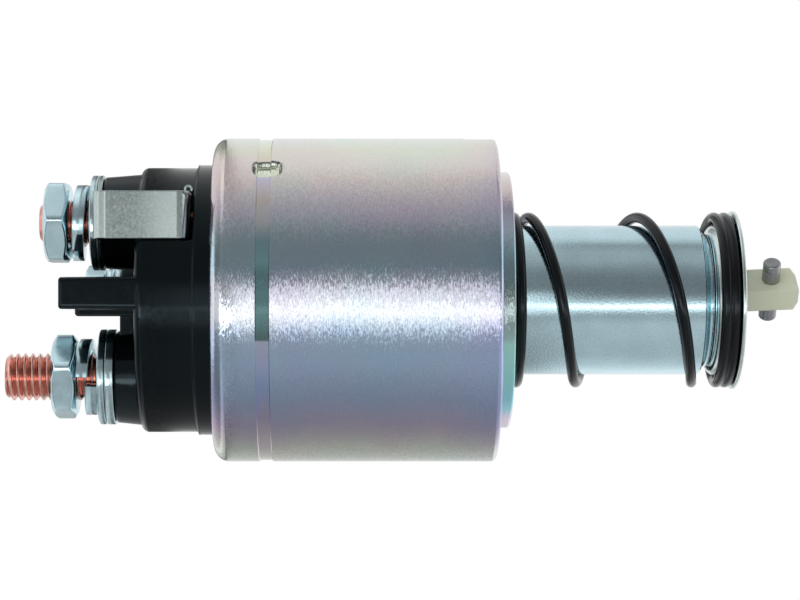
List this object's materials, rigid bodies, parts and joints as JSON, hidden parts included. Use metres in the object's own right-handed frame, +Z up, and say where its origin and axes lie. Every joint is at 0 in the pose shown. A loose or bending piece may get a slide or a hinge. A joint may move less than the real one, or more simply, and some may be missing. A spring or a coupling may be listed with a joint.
{
  "type": "starter solenoid",
  "caption": "Sprung plunger solenoid with a coil in a plated steel can, a moulded terminal cap with studs, and a cross-pinned link that moves a lever and closes a switch.",
  "frame": {"origin": "on the plunger's axis, in the plane of the can's mounting shoulder, where the pilot boss starts", "axes": "+X along the plunger's axis, out of the can towards the link; +Z up through the motor stud; -Y towards the strap side"},
  "size_m": [0.1342, 0.055, 0.055],
  "materials": {
    "zinc_can": "iridescent zinc plate, fine brushed",
    "zinc_hardware": "bright zinc plate",
    "plunger_zinc": "blue-white zinc plate, turned",
    "core_steel": "plain turned steel",
    "guide_brass": "drawn brass",
    "copper": "bright copper",
    "winding_wire": "enamelled copper wire",
    "tinned_strip": "tinned strip, brushed",
    "black_moulding": "gloss black phenolic moulding",
    "bobbin_nylon": "natural nylon",
    "gasket_rubber": "black rubber",
    "spring_black": "black coated spring wire",
    "spring_steel": "plain spring steel",
    "link_nylon": "pale green-white nylon",
    "pin_steel": "ground steel"
  },
  "bodies": {
    "housing": {"can": "zinc_can", "battery_nut": "zinc_hardware", "motor_nut": "zinc_hardware", "signal_nut": "zinc_hardware", "battery_lock_washer": "zinc_hardware", "motor_lock_washer": "zinc_hardware", "signal_lock_washer": "zinc_hardware", "battery_washers": "zinc_hardware", "motor_washer": "zinc_hardware", "signal_washer": "zinc_hardware", "fixed_core": "core_steel", "guide_tube": "guide_brass", "battery_stud": "copper", "motor_stud": "copper", "signal_stud": "copper", "hold_in_winding": "winding_wire", "pull_in_winding": "winding_wire", "pull_in_lead": "winding_wire", "hold_in_lead": "winding_wire", "motor_strap": "tinned_strip", "cap": "black_moulding", "bobbin": "bobbin_nylon", "cap_gasket": "gasket_rubber", "return_spring": "spring_black", "coil_spring_washer": "spring_steel", "contact_return_spring": "spring_steel"},
    "contact_rod": {"contact_rod": "core_steel", "rod_clip": "spring_steel", "contact_spring": "spring_steel"},
    "contact": {"contact_disc": "copper", "contact_bushes": "bobbin_nylon"},
    "plunger": {"plunger": "plunger_zinc", "plunger_cover": "core_steel", "engagement_spring": "spring_steel", "spring_seat": "zinc_hardware", "seat_clip": "spring_steel"},
    "link": {"link": "link_nylon", "link_pin": "pin_steel"}
  },
  "joints": [
    {"name": "plunger_slide", "type": "slide", "parent": "housing", "child": "plunger", "axis": [-1, 0, 0], "range_m": [0, 0.01], "stiffness_N_per_m": 1500, "springref_m": -0.012, "deforming": ["return_spring"]},
    {"name": "rod_slide", "type": "slide", "parent": "housing", "child": "contact_rod", "axis": [-1, 0, 0], "range_m": [0, 0.0035], "deforming": ["contact_return_spring"]},
    {"name": "contact_slide", "type": "slide", "parent": "housing", "child": "contact", "axis": [-1, 0, 0], "range_m": [0, 0.0027], "deforming": ["contact_spring"]},
    {"name": "link_slide", "type": "slide", "parent": "plunger", "child": "link", "axis": [1, 0, 0], "range_m": [0, 0.008], "stiffness_N_per_m": 3000, "springref_m": -0.004, "deforming": ["engagement_spring"]}
  ],
  "couplings": [
    {"joint": "rod_slide", "follows": "plunger_slide", "ratio": 0.35},
    {"joint": "contact_slide", "follows": "plunger_slide", "ratio": 0.27}
  ]
}
